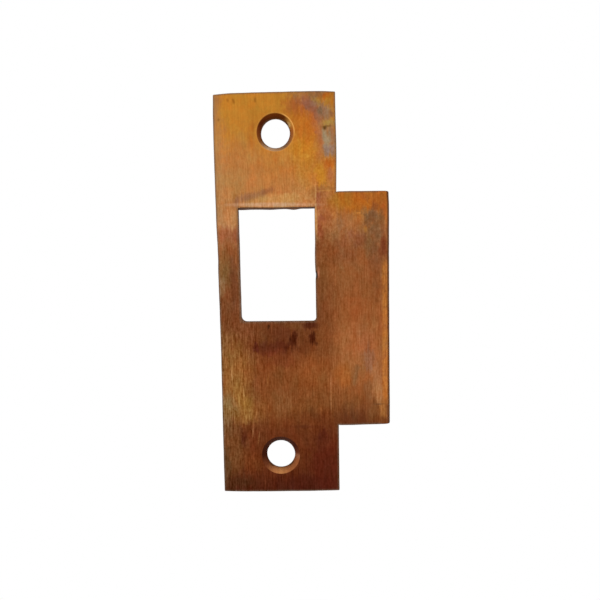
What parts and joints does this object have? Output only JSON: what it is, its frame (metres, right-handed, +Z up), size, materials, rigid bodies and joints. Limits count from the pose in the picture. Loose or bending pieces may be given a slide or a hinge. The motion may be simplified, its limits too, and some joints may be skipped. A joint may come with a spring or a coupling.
{
  "type": "door strike plate",
  "caption": "Flat aged-brass strike plate with a rectangular latch opening, countersunk screw holes at its ends and a side lip that leans back so a latch rides over it.",
  "frame": {"origin": "on the back face, midway between the two screw holes; this point lies inside the latch opening", "axes": "+Z up along the strip, +X towards the lip, +Y into the door frame behind the plate; the front faces -Y"},
  "size_m": [0.0367, 0.0025, 0.0852],
  "materials": {
    "aged_brass": "brushed along its length, tarnished from ochre at the top to red-brown at the bottom"
  },
  "bodies": {
    "root": {"strike_plate": "aged_brass"}
  },
  "joints": []
}
